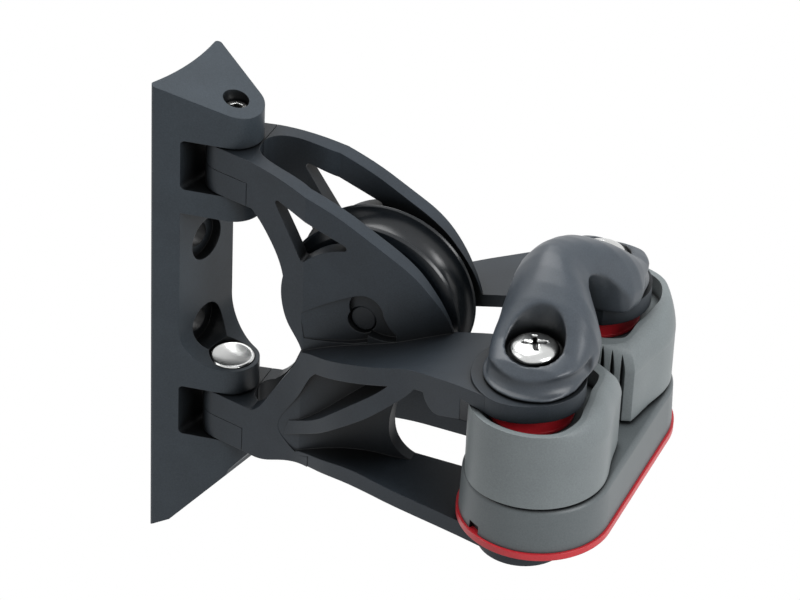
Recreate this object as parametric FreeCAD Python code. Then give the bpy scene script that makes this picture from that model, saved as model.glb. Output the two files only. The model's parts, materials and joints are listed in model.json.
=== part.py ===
import FreeCAD, Part
import math
import os

V = FreeCAD.Vector

# Pivoting lead block for the foot of a mast: a bracket that hugs the mast, a
# swinging arm cast in two interleaved halves, a ball bearing sheave between
# their cheeks, and a cam cleat with a fairlead held between their struts.
# Millimetres. The origin lies on the hollow mast face, on its centre line and
# midway between the two mast screws. +X points out of the mast, +Z is up.

# Fits and gaps
RUN = 0.05
JOINT_GAP = 0.35
SEAM = 0.12

# Mast bracket
MAST_R = 54.0
BRACKET_HALF_W = 11.9
BRACKET_CORNER_R = 0.9
NOSE_R = 6.0
HINGE_X = 12.7
PLATE_T = 5.4
BRACKET_TOP = 52.5
TOP_SLOPE = 14.8
BRACKET_FOOT = -62.2
FOOT_STEP_X = 15.6
FOOT_STEP = 1.3
UPPER_GAP_TOP = 40.2
UPPER_GAP_H = 12.0
LUG_T = 6.0
LOWER_LUG_TOP = -16.4
LOWER_GAP_H = 12.6
GUSSET_R = 8.5
MAST_SCREW_PITCH = 22.0
MAST_SCREW_HOLE_R = 2.65
COUNTERBORE_R = 4.9
COUNTERBORE_DEPTH = 2.2

# Hinge pins
PIN_R = 2.7
PIN_RECESS = 1.9
PIN_HEAD_R = 4.87
PIN_HEAD_T = 1.5
PIN_HEAD_PROUD = 0.45
PIN_HEX_AF = 2.5
PIN_DISH = 0.7
BUSH_T = 0.8

# Swinging arm, in its own frame: x along the arm from the hinge axis
REST_SWING = 12.7
KNUCKLE_R = 6.2
KNUCKLE_LINE = 11.6
FLARE = 12.5
CHEEK_OUT = 11.0
CHEEK_IN = 7.5
CAVITY_X = 6.2
CAVITY_HALF_W = 4.9
FLANGE_T = 3.0
LIP_T = 4.5
LIP_W = 2.4
LOWER_STRUT_TOP = -22.2
LOWER_STRUT_T = 3.8
WINDOW_CORNER_R = 0.7
SCOOP_DEPTH = 1.7

# Sheave and its ball bearing
SHEAVE_X = 33.8
SHEAVE_Z = 9.3
SHEAVE_R = 20.0
SHEAVE_W = 10.5
GROOVE_R = 4.6
SHEAVE_BORE_R = 9.4
BALL_R = 1.55
BALL_COUNT = 10
AXLE_R = 3.0
RACE_COLLAR_T = 2.1
RECESS_DEPTH = 2.2

# Cam cleat
CLEAT_X = 75.5
CAM_PITCH = 38.0
CLEAT_SHIFT = 2.0
BASE_R_FOOT = 15.95
BASE_R_TOP = 15.6
BASE_SHOULDER_R = 1.1
BASE_H = 10.7
TRIM_T = 1.2
TRIM_OVERHANG = 0.5
SEAT_Z = -20.3
SEAT_R = 11.5
BOSS_R = 9.6
BOSS_H = 0.9
CAM_H = 18.6
CAM_LIFT = 0.2
CAM_R = 15.3
CAM_OFFSET_X = 1.5
CAM_OFFSET_Y = 0.3
CAM_TIP_R = 20.7
CAM_HEEL_R = 14.1
CAM_BACK_R = 12.3
CAM_TIP_ANGLE = 47.0
CAM_HEEL_ANGLE = 118.0
CAM_ROUNDING = 4.0
CAM_ROUNDING_H = 6.4
CAM_EDGE = 0.6
CAM_RIM_T = 1.3
CAM_GRIP_RIM_T = 2.6
CAM_ROOM_R = 14.95
TOOTH_COUNT = 11
TOOTH_DEPTH = 0.9
CAM_BORE_R = 7.9
DISH_DEPTH = 4.4
HUB_R = 4.5
RACE_FLANGE_R = 8.95
RACE_FLANGE_T = 0.7
CAM_BALL_R = 1.1
CAM_BALL_COUNT = 8
SPRING_WIRE_R = 0.55
SPRING_TURNS = 1.6
SPRING_R = 10.4
SPRING_ROOM = 0.75

# Top disc of the strut, fairlead and cleat screws
DISC_R = 12.6
DISC_T = 4.2
SCREW_R = 2.5
SCREW_HOLE_R = 2.65
SCREW_HEAD_R = 4.9
SCREW_HEAD_H = 2.5
SCREW_FLOOR_T = 3.6
WELL_R = 5.9
FAIRLEAD_GAP = 0.05
FAIRLEAD_CROWN = 18.0
FAIRLEAD_EYE = 10.6
FAIRLEAD_EYE_HALF_W = 7.4
FAIRLEAD_SHOULDER = 1.0
SECTION_POWER = 0.72
SECTION_POINTS = 20

# Levels and places that follow from the sizes above
SAGITTA = MAST_R - math.sqrt(MAST_R ** 2 - BRACKET_HALF_W ** 2)
UPPER_GAP_FLOOR = UPPER_GAP_TOP - UPPER_GAP_H
UPPER_LUG_FOOT = UPPER_GAP_FLOOR - LUG_T
LOWER_GAP_TOP = LOWER_LUG_TOP - LUG_T
LOWER_GAP_FLOOR = LOWER_GAP_TOP - LOWER_GAP_H
PIN_FOOT = LOWER_GAP_FLOOR - LUG_T
NOSE_X = HINGE_X + NOSE_R
TOP_FALL = math.tan(math.radians(TOP_SLOPE))
BASE_FOOT = SEAT_Z + TRIM_T
BASE_TOP = BASE_FOOT + BASE_H
CAM_FOOT = BASE_TOP + CAM_LIFT
CAM_TOP = CAM_FOOT + CAM_H
DISC_FOOT = CAM_TOP + JOINT_GAP
DISC_TOP = DISC_FOOT + DISC_T
LOWER_STRUT_FOOT = LOWER_STRUT_TOP - LOWER_STRUT_T
BOSS_FOOT = LOWER_STRUT_FOOT - BOSS_H
HALF_PITCH = CAM_PITCH / 2
CLEAT_CENTRE_X = CLEAT_X + CLEAT_SHIFT
BASE_CENTRE_Y = HALF_PITCH - 1.2
RIM_DROP = DISC_TOP - 15.0


def extrude_y(points, y_low, y_high):
    """Solid whose section in the XZ plane is the closed outline."""
    wire = outline([V(x, y_low, z) for x, z in points])
    return Part.Face(wire).extrude(V(0, y_high - y_low, 0))


def extrude_z(points, z_low, z_high):
    """Solid whose plan is the closed outline."""
    wire = outline([V(x, y, z_low) for x, y in points])
    return Part.Face(wire).extrude(V(0, 0, z_high - z_low))


def outline(points):
    """Closed wire of straight edges."""
    return Part.makePolygon(points + [points[0]])


def spline(points):
    """Smooth edge through the points."""
    curve = Part.BSplineCurve()
    curve.interpolate(points)
    return curve.toShape()


def chain(parts):
    """Closed wire of smooth and straight stretches, each a list of points."""
    edges = []
    last = parts[-1][-1]
    for points in parts:
        if points[0].distanceToPoint(last) > 1e-6:
            edges.append(Part.makeLine(last, points[0]))
        if len(points) == 2:
            edges.append(Part.makeLine(points[0], points[1]))
        if len(points) > 2:
            edges.append(spline(points))
        last = points[-1]
    return Part.Wire(edges)


def side_solid(parts, y_low, y_high):
    """Solid from XZ stretches, drawn out along Y."""
    runs = [[V(x, y_low, z) for x, z in points] for points in parts]
    return Part.Face(chain(runs)).extrude(V(0, y_high - y_low, 0))


def plan_solid(parts, z_low, z_high):
    """Solid from XY stretches, drawn out along Z."""
    runs = [[V(x, y, z_low) for x, y in points] for points in parts]
    return Part.Face(chain(runs)).extrude(V(0, 0, z_high - z_low))


def upright(radius, z_low, z_high, x=0.0, y=0.0):
    """Cylinder about a vertical axis."""
    return Part.makeCylinder(radius, z_high - z_low, V(x, y, z_low))


def crosswise(radius, y_low, y_high, x, z):
    """Cylinder about an axis along Y."""
    return Part.makeCylinder(radius, y_high - y_low, V(x, y_low, z), V(0, 1, 0))


def mirror_y(shape):
    """Copy on the other side of the arm's middle plane."""
    return shape.mirror(V(0, 0, 0), V(0, 1, 0))


def swing(shape):
    """From the arm's own frame to the part's frame, at the rest swing."""
    turned = shape.copy()
    turned.rotate(V(0, 0, 0), V(0, 0, 1), REST_SWING)
    turned.translate(V(HINGE_X, 0, 0))
    return turned


def clean(shape):
    """One solid with its split faces joined."""
    merged = shape.removeSplitter()
    if len(merged.Solids) == 1:
        return merged.Solids[0]
    return merged


def bracket_plan():
    """Plan of the bracket: hollow back, straight flanks, round nose."""
    dx = HINGE_X + SAGITTA
    reach = math.hypot(dx, BRACKET_HALF_W)
    turn = math.atan2(BRACKET_HALF_W, -dx) - math.acos(NOSE_R / reach)
    tx = HINGE_X + NOSE_R * math.cos(turn)
    ty = NOSE_R * math.sin(turn)
    back = Part.Arc(V(-SAGITTA, -BRACKET_HALF_W, 0), V(0, 0, 0), V(-SAGITTA, BRACKET_HALF_W, 0))
    nose = Part.Arc(V(tx, ty, 0), V(NOSE_X, 0, 0), V(tx, -ty, 0))
    far = Part.makeLine(V(-SAGITTA, BRACKET_HALF_W, 0), V(tx, ty, 0))
    near = Part.makeLine(V(tx, -ty, 0), V(-SAGITTA, -BRACKET_HALF_W, 0))
    return Part.Wire([back.toShape(), far, nose.toShape(), near])


def bracket_blank():
    """Plan drawn up, with its back corners eased."""
    face = Part.Face(bracket_plan())
    face.translate(V(0, 0, BRACKET_FOOT - 1))
    block = face.extrude(V(0, 0, BRACKET_TOP - BRACKET_FOOT + 2))
    corners = []
    for edge in block.Edges:
        ends = [v.Point for v in edge.Vertexes]
        upright_edge = len(ends) == 2 and abs(ends[0].z - ends[1].z) > BRACKET_TOP
        if upright_edge and ends[0].x < 0:
            corners.append(edge)
    return block.makeFillet(BRACKET_CORNER_R, corners)


def bracket_foot_cut():
    """Below the foot: a flat bevel, a long taper, a small step, the nose."""
    low = BRACKET_FOOT - 5
    heel_x = 3.6
    heel_z = BRACKET_FOOT + 3.0
    step_z = LOWER_GAP_FLOOR - 9.1
    nose_z = step_z + FOOT_STEP + (NOSE_X - FOOT_STEP_X) * 1.25
    points = [(-4, low), (-4, BRACKET_FOOT - 1.6), (-SAGITTA, BRACKET_FOOT), (heel_x, heel_z)]
    points += [(FOOT_STEP_X, step_z), (FOOT_STEP_X + 0.3, step_z + FOOT_STEP)]
    points += [(NOSE_X, nose_z), (NOSE_X + 6, nose_z + 7), (NOSE_X + 6, low)]
    return extrude_y(points, -BRACKET_HALF_W - 2, BRACKET_HALF_W + 2)


def bracket_window():
    """Open middle between the knuckles, with the gusset's curve at its foot."""
    far = NOSE_X + 4
    low = LOWER_LUG_TOP
    slope = math.sqrt(0.5)
    middle = (PLATE_T + GUSSET_R * (1 - slope), low + GUSSET_R * (1 - slope))
    half = BRACKET_HALF_W + 2
    start = V(PLATE_T, -half, low + GUSSET_R)
    end = V(PLATE_T + GUSSET_R, -half, low)
    edges = [Part.Arc(start, V(middle[0], -half, middle[1]), end).toShape()]
    edges.append(Part.makeLine(end, V(far, -half, low)))
    edges.append(Part.makeLine(V(far, -half, low), V(far, -half, UPPER_LUG_FOOT)))
    edges.append(Part.makeLine(V(far, -half, UPPER_LUG_FOOT), V(PLATE_T, -half, UPPER_LUG_FOOT)))
    edges.append(Part.makeLine(V(PLATE_T, -half, UPPER_LUG_FOOT), start))
    return Part.Face(Part.Wire(edges)).extrude(V(0, 2 * half, 0))


def knuckle_gap(z_low, z_high):
    """Slot that takes a knuckle of the arm, with eased inner corners."""
    half = BRACKET_HALF_W + 2
    slot = Part.makeBox(NOSE_X + 4 - PLATE_T, 2 * half, z_high - z_low, V(PLATE_T, -half, z_low))
    corners = [e for e in slot.Edges if abs(e.CenterOfMass.x - PLATE_T) < 0.01 and abs(e.CenterOfMass.y) < 0.01]
    return slot.makeFillet(1.0, corners)


def mast_bracket():
    """Cast bracket that the arm hangs on."""
    body = bracket_blank()
    rise = (NOSE_X + 8) * TOP_FALL
    top = BRACKET_TOP - SAGITTA * TOP_FALL
    roof = [(-4, top + 4 * TOP_FALL), (NOSE_X + 8, top - rise), (NOSE_X + 8, top + 9), (-4, top + 9)]
    body = body.cut(extrude_y(roof, -BRACKET_HALF_W - 2, BRACKET_HALF_W + 2))
    body = body.cut(bracket_foot_cut())
    body = body.cut(bracket_window())
    body = body.cut(knuckle_gap(UPPER_GAP_FLOOR, UPPER_GAP_TOP))
    body = body.cut(knuckle_gap(LOWER_GAP_FLOOR, LOWER_GAP_TOP))
    body = body.cut(upright(PIN_R + RUN, UPPER_LUG_FOOT + 1.0, BRACKET_TOP, HINGE_X))
    body = body.cut(upright(PIN_R + RUN, PIN_FOOT, LOWER_LUG_TOP + 1, HINGE_X))
    seat = LOWER_LUG_TOP + PIN_HEAD_PROUD - PIN_HEAD_T
    body = body.cut(upright(PIN_HEAD_R + 0.15, seat, LOWER_LUG_TOP + GUSSET_R, HINGE_X))
    for side in (-1, 1):
        z = side * MAST_SCREW_PITCH / 2
        hole = Part.makeCylinder(MAST_SCREW_HOLE_R, PLATE_T + 4, V(-2, 0, z), V(1, 0, 0))
        seat_x = PLATE_T - COUNTERBORE_DEPTH
        reach = COUNTERBORE_DEPTH + GUSSET_R
        bore = Part.makeCylinder(COUNTERBORE_R, reach, V(seat_x, 0, z), V(1, 0, 0))
        body = body.cut(hole).cut(bore)
    return clean(body)


def upper_hinge_pin():
    """Headless pin with a socket in its top end, sunk in the top lug."""
    low = UPPER_LUG_FOOT + 1.0 + RUN
    lug_top = BRACKET_TOP - (SAGITTA + HINGE_X) * TOP_FALL
    high = lug_top - PIN_RECESS
    pin = upright(PIN_R, low, high, HINGE_X)
    rim = [e for e in pin.Edges if e.CenterOfMass.z > high - 0.01 and e.Closed]
    pin = pin.makeChamfer(0.4, rim)
    corners = []
    for k in range(6):
        a = math.radians(60 * k)
        r = PIN_HEX_AF / 2 / math.cos(math.radians(30))
        corners.append((HINGE_X + r * math.cos(a), r * math.sin(a)))
    return pin.cut(extrude_z(corners, high - 2.0, high + 1))


def lower_hinge_pin():
    """Pin with a wide dished head that sits in the lower knuckle."""
    high = LOWER_LUG_TOP + PIN_HEAD_PROUD
    under = high - PIN_HEAD_T
    head = upright(PIN_HEAD_R, under, high, HINGE_X)
    rim = [e for e in head.Edges if e.Closed and e.CenterOfMass.z > high - 0.01]
    head = head.makeChamfer(0.3, rim)
    dish_r = PIN_HEAD_R - 0.6
    ball_r = (dish_r ** 2 + PIN_DISH ** 2) / (2 * PIN_DISH)
    head = head.cut(Part.makeSphere(ball_r, V(HINGE_X, 0, high - PIN_DISH + ball_r)))
    return clean(head.fuse(upright(PIN_R, PIN_FOOT + RUN, under + 0.5, HINGE_X)))


def hinge_bush(z_low, z_high):
    """Plain sleeve that lines both arm halves at a pin."""
    sleeve = upright(PIN_R + RUN + BUSH_T, z_low, z_high)
    return sleeve.cut(upright(PIN_R + RUN, z_low - 1, z_high + 1))


def knuckle_plan():
    """Plan of a knuckle: round behind the pin, flaring into the cheeks."""
    turn = math.radians(90 + FLARE)
    tx = KNUCKLE_R * math.cos(turn)
    ty = KNUCKLE_R * math.sin(turn)
    knee_x = tx + (CHEEK_OUT - ty) / math.tan(math.radians(FLARE))
    back = Part.Arc(V(tx, ty, 0), V(-KNUCKLE_R, 0, 0), V(tx, -ty, 0)).toShape()
    end = 62.0
    edges = [back, Part.makeLine(V(tx, -ty, 0), V(knee_x, -CHEEK_OUT, 0))]
    edges.append(Part.makeLine(V(knee_x, -CHEEK_OUT, 0), V(end, -CHEEK_OUT, 0)))
    edges.append(Part.makeLine(V(end, -CHEEK_OUT, 0), V(end, CHEEK_OUT, 0)))
    edges.append(Part.makeLine(V(end, CHEEK_OUT, 0), V(knee_x, CHEEK_OUT, 0)))
    edges.append(Part.makeLine(V(knee_x, CHEEK_OUT, 0), V(tx, ty, 0)))
    return Part.Wire(edges)


def plan_block(wire, z_low, z_high):
    """Solid from a plan wire."""
    face = Part.Face(wire)
    face.translate(V(0, 0, z_low))
    return face.extrude(V(0, 0, z_high - z_low))


def cavity():
    """Space between the halves: rounded towards the hinge, then parallel."""
    low = LOWER_STRUT_FOOT - 30
    high = UPPER_GAP_TOP + 10
    near = [(20.5, -CHEEK_IN), (13.0, -CAVITY_HALF_W - 1.1), (9.4, -CAVITY_HALF_W), (7.1, -3.2), (CAVITY_X, 0)]
    far = [(x, -y) for x, y in reversed(near[:-1])]
    tail = [(CLEAT_X + 40, CHEEK_IN), (CLEAT_X + 40, -CHEEK_IN)]
    return plan_solid([near + far, tail], low, high)


def strut_edge(points, z_low, z_high):
    """Plan of one strut: hinge side on the middle plane, flared outer edge."""
    return plan_solid([points, [(points[-1][0], 0), (points[0][0], 0)]], z_low, z_high)


def upper_edge():
    """Flared outer edge of the upper strut, ending on the cleat's disc."""
    return [(9.0, -8.25), (15.0, -9.7), (21.0, -11.6), (28.0, -16.0), (35.0, -19.0), (44.0, -21.3),
            (49.0, -22.4), (55.0, -24.5), (62.0, -27.3), (CLEAT_X - 6.0, -HALF_PITCH - 11.1)]


def lower_edge():
    """Flared outer edge of the lower strut."""
    return [(9.0, -8.25), (15.0, -9.7), (21.0, -11.6), (28.0, -15.6), (34.0, -18.0), (41.0, -20.3),
            (48.0, -22.1), (56.6, -23.9), (65.4, -25.8), (CLEAT_X - 1.0, -HALF_PITCH - BOSS_R + 0.4)]


def strut_top():
    """Side view of the upper strut's top, from the hinge to the disc."""
    return [(21.1, -1.5), (28.0, 1.8), (35.0, 4.5), (44.0, 7.9), (49.0, 9.9), (55.0, 11.7 + RIM_DROP),
            (62.0, 13.5 + RIM_DROP), (69.0, DISC_TOP - 0.3), (CLEAT_X, DISC_TOP)]


def lowered(points, drop):
    """The same side view, lower down and run the other way."""
    return [(x, z - drop) for x, z in reversed(points)]


def upper_strut():
    """Flared strut with a deeper outer lip, and the disc over the cam."""
    top = strut_top()
    plate = side_solid([top, lowered(top, FLANGE_T)], -40, 0)
    lip = side_solid([top, lowered(top, LIP_T)], -40, 0)
    skirt = [(50.3, 8.0), (53.4, 7.6), (54.2, 5.6), (56.0, 3.6), (58.5, 3.6), (66.6, 7.0), (66.6, 12.0)]
    lip = lip.fuse(side_solid([skirt[:5], skirt[5:]], -40, 0))
    edge = strut_edge(upper_edge(), -40, 40)
    inner = edge.copy()
    inner.translate(V(0.4, LIP_W, 0))
    strut = plate.common(edge).fuse(lip.common(edge).cut(inner))
    strut = strut.cut(cam_room())
    disc = upright(DISC_R, DISC_FOOT, DISC_TOP, CLEAT_X, -HALF_PITCH)
    return strut.fuse(disc)


def cam_room():
    """Room that the cam sweeps below the disc."""
    return upright(CAM_ROOM_R, BASE_TOP - 30, DISC_FOOT, CLEAT_X, -HALF_PITCH)


def lower_strut():
    """Flat strut under the cleat, with its seat and its tapped boss."""
    foot = [(22.0, -30.1), (28.0, -28.0), (34.0, -26.7), (42.0, LOWER_STRUT_FOOT)]
    top = [(42.0, LOWER_STRUT_TOP), (34.0, -22.9), (28.0, -24.6), (20.3, -27.7)]
    ends = [(CLEAT_X, LOWER_STRUT_FOOT), (CLEAT_X, LOWER_STRUT_TOP)]
    plate = side_solid([foot, ends, top], -40, 0)
    plate = plate.common(strut_edge(lower_edge(), -60, 40))
    seat = upright(SEAT_R, LOWER_STRUT_TOP - 1, SEAT_Z, CLEAT_X, -HALF_PITCH)
    boss = upright(BOSS_R, BOSS_FOOT, LOWER_STRUT_TOP, CLEAT_X, -HALF_PITCH)
    return plate.fuse(seat).fuse(boss)


def root_block():
    """Thick root that joins the lower knuckle to both struts."""
    low = LOWER_GAP_FLOOR + JOINT_GAP
    high = LOWER_GAP_TOP - JOINT_GAP
    rise = [(8.4, high), (9.6, high + 0.9), (12.5, -17.6), (15.8, -11.9), (19.3, -5.7), (21.1, -1.5)]
    fall = [(27.6, -2.2), (25.2, -4.4), (21.5, -11.5), (17.4, -18.6), (15.6, -22.4), (15.5, -24.0),
            (17.6, -26.6), (20.3, -28.0), (24.0, -26.6)]
    under = [(24.0, -29.4), (22.0, -30.1), (16.3, -32.3), (11.5, -34.4), (8.0, low)]
    block = side_solid([[(5.9, low), (5.9, high)], rise, fall, under], -40, 0)
    return block.common(strut_edge(upper_edge(), -60, 40).fuse(knuckle_side()))


def knuckle_side():
    """Near half of the knuckle's plan, full height."""
    return plan_block(knuckle_plan(), -60, 60).common(Part.makeBox(80, 30, 120, V(-10, -30, -60)))


def rib():
    """Slanting rib between the root and the upper strut."""
    top = [(18.2, -20.8), (23.7, -17.4), (30.0, -11.4), (36.0, -5.4), (41.4, -0.2), (47.0, 6.5)]
    foot = [(52.0, 7.4), (51.1, 5.6), (46.9, 0.4), (40.5, -6.3), (32.7, -13.2), (23.8, -20.8), (17.0, -25.2)]
    bar = side_solid([top, foot], -40, 0)
    return bar.common(strut_edge(upper_edge(), -60, 40))


def cheek_outline():
    """Side view of a cheek with the web below it."""
    top = [(6.0, UPPER_GAP_TOP - JOINT_GAP), (12.0, 39.2), (16.5, 38.2), (22.0, 36.5), (29.5, 33.5),
           (35.0, 30.6), (41.0, 27.3), (45.5, 24.0), (49.0, 20.0), (51.5, 16.3), (53.6, 11.5)]
    web_end = [(50.0, 6.5), (45.0, -1.0), (42.2, -8.5), (41.4, -14.0), (42.2, -18.5), (45.0, -21.6),
               (49.5, LOWER_STRUT_TOP)]
    foot = [(42.0, LOWER_STRUT_FOOT + 1), (28.0, -27.0), (16.0, -30.0), (12.0, -24.0)]
    cap = [(20.9, -1.2), (19.6, 1.0), (17.4, 3.9), (15.9, 7.7), (15.4, 11.6), (15.8, 15.3)]
    neck = [(15.8, 15.3), (14.3, 19.6), (11.9, 23.6), (9.4, 26.8), (7.6, UPPER_GAP_FLOOR + JOINT_GAP)]
    return [top, web_end, foot, cap, neck, [neck[-1], (6.0, UPPER_GAP_FLOOR + JOINT_GAP)]]


def cheek_plan():
    """Plan of a cheek: its outer face closes in towards the tip."""
    tip = [(40.0, -CHEEK_OUT), (43.5, -CHEEK_OUT + 0.3), (47.0, -CHEEK_OUT + 0.9), (49.3, -CHEEK_OUT + 1.4),
           (51.0, -CHEEK_OUT + 2.0), (56.0, -CHEEK_OUT + 2.7)]
    return plan_solid([tip, [(56.0, 0), (-10.0, 0)], [(-10.0, -CHEEK_OUT), (40.0, -CHEEK_OUT)]], -60, 60)


def cheek_window():
    """Three-cornered opening over the sheave, its foot curved round it."""
    r = 17.4
    start = math.radians(140.5)
    end = math.radians(94.0)
    middle = (start + end) / 2
    arc = []
    for a in (start, middle, end):
        arc.append(V(SHEAVE_X + r * math.cos(a), 0, SHEAVE_Z + r * math.sin(a)))
    corner = V(12.6, 0, 33.9)
    edges = [Part.Arc(arc[0], arc[1], arc[2]).toShape(), Part.makeLine(arc[2], corner), Part.makeLine(corner, arc[0])]
    face = Part.Face(Part.Wire(edges))
    face.translate(V(0, -20, 0))
    prism = face.extrude(V(0, 20 - 1, 0))
    corners = [e for e in prism.Edges if abs(e.CenterOfMass.y + 10.5) < 0.01]
    return prism.makeFillet(WINDOW_CORNER_R, corners)


def axle_recess():
    """Comma-shaped sinking in the cheek that bares the axle's end."""
    head = crosswise(4.1, -20, -CHEEK_OUT + RECESS_DEPTH, SHEAVE_X + 1.3, SHEAVE_Z + 3.2)
    tail = [(SHEAVE_X - 0.6, SHEAVE_Z - 0.4), (SHEAVE_X + 2.2, SHEAVE_Z - 2.2), (SHEAVE_X + 5.6, SHEAVE_Z - 2.6),
            (SHEAVE_X + 8.4, SHEAVE_Z - 2.0)]
    back = [(SHEAVE_X + 8.3, SHEAVE_Z - 0.4), (SHEAVE_X + 6.4, SHEAVE_Z + 1.6), (SHEAVE_X + 5.2, SHEAVE_Z + 4.2)]
    comma = side_solid([tail, back], -20, -CHEEK_OUT + RECESS_DEPTH)
    return head.fuse(comma)


def cheek_scoop():
    """Shallow hollow in the cheek that deepens towards the axle's sinking."""
    top = [(SHEAVE_X - 13.4, SHEAVE_Z - 1.4), (SHEAVE_X - 7.0, SHEAVE_Z + 3.2), (SHEAVE_X - 0.6, SHEAVE_Z + 6.9)]
    end = [(SHEAVE_X + 2.6, SHEAVE_Z + 5.0), (SHEAVE_X + 2.0, SHEAVE_Z - 4.0)]
    foot = [(SHEAVE_X - 1.0, SHEAVE_Z - 5.2), (SHEAVE_X - 7.0, SHEAVE_Z - 6.6), (SHEAVE_X - 12.4, SHEAVE_Z - 7.4)]
    shape = side_solid([top, end, foot], -20, -CHEEK_OUT + SCOOP_DEPTH)
    near_x = SHEAVE_X - 14.0
    far_x = SHEAVE_X + 3.0
    slope = [(near_x, -CHEEK_OUT), (far_x, -CHEEK_OUT + SCOOP_DEPTH), (far_x, -21), (near_x, -21)]
    return shape.common(extrude_z(slope, -40, 60))


def barrel(z_low, z_high):
    """Half-height barrel of a knuckle that reaches across to the far side."""
    block = plan_block(knuckle_plan(), z_low, z_high)
    far = Part.makeBox(CAVITY_X - SEAM + 10, 20, 120, V(-10, 0, -60))
    near = Part.makeBox(CAVITY_X + 0.5 + 10, 20, 120, V(-10, -20, -60))
    return block.common(far.fuse(near))


def half_casting(upper_barrel_low, upper_barrel_high, lower_barrel_low, lower_barrel_high):
    """One half of the arm, on the near side of its middle plane."""
    cheek = side_solid(cheek_outline(), -40, 0).common(knuckle_side()).common(cheek_plan())
    body = cheek.fuse(root_block()).fuse(upper_strut()).fuse(lower_strut()).fuse(rib())
    body = body.cut(cavity())
    clear = Part.makeBox(CAVITY_X + 20, 40, 200, V(-20, -30, -100))
    body = body.cut(clear)
    body = body.fuse(barrel(upper_barrel_low, upper_barrel_high).cut(cavity()))
    body = body.fuse(barrel(lower_barrel_low, lower_barrel_high).cut(cavity()))
    body = body.cut(cheek_window())
    body = body.cut(cheek_scoop())
    body = body.cut(axle_recess())
    body = body.cut(crosswise(AXLE_R + 0.02, -20, 0, SHEAVE_X, SHEAVE_Z))
    bore = PIN_R + RUN + BUSH_T + 0.02
    body = body.cut(upright(bore, -60, 60))
    body = body.cut(upright(SCREW_HOLE_R, BOSS_FOOT + 20, 60, CLEAT_X, -HALF_PITCH))
    body = body.cut(upright(SCREW_R + 0.02, BOSS_FOOT - 1, BOSS_FOOT + 21, CLEAT_X, -HALF_PITCH))
    return clean(body)


def arm_halves():
    """Both castings; each fills one half of each knuckle gap."""
    up_low = UPPER_GAP_FLOOR + JOINT_GAP
    up_high = UPPER_GAP_TOP - JOINT_GAP
    up_mid = (up_low + up_high) / 2
    low_low = LOWER_GAP_FLOOR + JOINT_GAP
    low_high = LOWER_GAP_TOP - JOINT_GAP
    low_mid = (low_low + low_high) / 2
    front = half_casting(up_mid + SEAM / 2, up_high, low_mid + SEAM / 2, low_high)
    back = half_casting(up_low, up_mid - SEAM / 2, low_low, low_mid - SEAM / 2)
    return front, mirror_y(back)


def sheave():
    """Grooved wheel, bored for its ball bearing."""
    half = SHEAVE_W / 2
    deep = SHEAVE_R - 4.0
    points = [V(SHEAVE_BORE_R, -half, 0), V(SHEAVE_R - 2.2, -half, 0), V(SHEAVE_R - 0.4, -half + 0.5, 0)]
    points += [V(SHEAVE_R, -half + 1.1, 0), V(SHEAVE_R - 0.3, -half + 1.5, 0)]
    edges = [Part.makeLine(a, b) for a, b in zip(points, points[1:])]
    groove = Part.Arc(points[-1], V(deep, 0, 0), V(SHEAVE_R - 0.3, half - 1.5, 0))
    edges.append(groove.toShape())
    back = [V(p.x, -p.y, 0) for p in reversed(points)]
    edges += [Part.makeLine(a, b) for a, b in zip(back, back[1:])]
    edges.append(Part.makeLine(back[-1], points[0]))
    wheel = Part.Face(Part.Wire(edges)).revolve(V(0, 0, 0), V(0, 1, 0), 360)
    wheel.translate(V(SHEAVE_X, 0, SHEAVE_Z))
    return clean(wheel)


def sheave_inner_race():
    """Fixed hub between the cheeks, with a collar each side of the balls."""
    track = SHEAVE_BORE_R - 2 * BALL_R - 2 * RUN
    collar = SHEAVE_BORE_R - 0.1
    half = CHEEK_IN - 0.02
    hub = crosswise(track, -half, half, SHEAVE_X, SHEAVE_Z)
    for side in (-1, 1):
        edge = side * (BALL_R + 0.25)
        far = side * (BALL_R + 0.25 + RACE_COLLAR_T)
        hub = hub.fuse(crosswise(collar, min(edge, far), max(edge, far), SHEAVE_X, SHEAVE_Z))
    hub = hub.cut(crosswise(AXLE_R + 0.02, -20, 20, SHEAVE_X, SHEAVE_Z))
    return clean(hub)


def sheave_balls():
    """Ring of balls between the hub and the wheel."""
    pitch = SHEAVE_BORE_R - BALL_R - RUN
    balls = []
    for k in range(BALL_COUNT):
        a = 2 * math.pi * k / BALL_COUNT
        place = V(SHEAVE_X + pitch * math.cos(a), 0, SHEAVE_Z + pitch * math.sin(a))
        balls.append(Part.makeSphere(BALL_R, place))
    return Part.makeCompound(balls)


def sheave_axle():
    """Axle with its ends in the cheeks."""
    end = CHEEK_OUT - RECESS_DEPTH
    pin = crosswise(AXLE_R, -end, end, SHEAVE_X, SHEAVE_Z)
    rims = [e for e in pin.Edges if e.Closed]
    return pin.makeChamfer(0.4, rims)


def long_round(radius, z, lead=0.0):
    """Plan wire with two half rounds, one about each cam."""
    x = CLEAT_CENTRE_X + lead
    y = BASE_CENTRE_Y
    front = Part.Arc(V(x - radius, -y, z), V(x, -y - radius, z), V(x + radius, -y, z)).toShape()
    back = Part.Arc(V(x + radius, y, z), V(x, y + radius, z), V(x - radius, y, z)).toShape()
    right = Part.makeLine(V(x + radius, -y, z), V(x + radius, y, z))
    left = Part.makeLine(V(x - radius, y, z), V(x - radius, -y, z))
    return Part.Wire([front, right, back, left])


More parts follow.
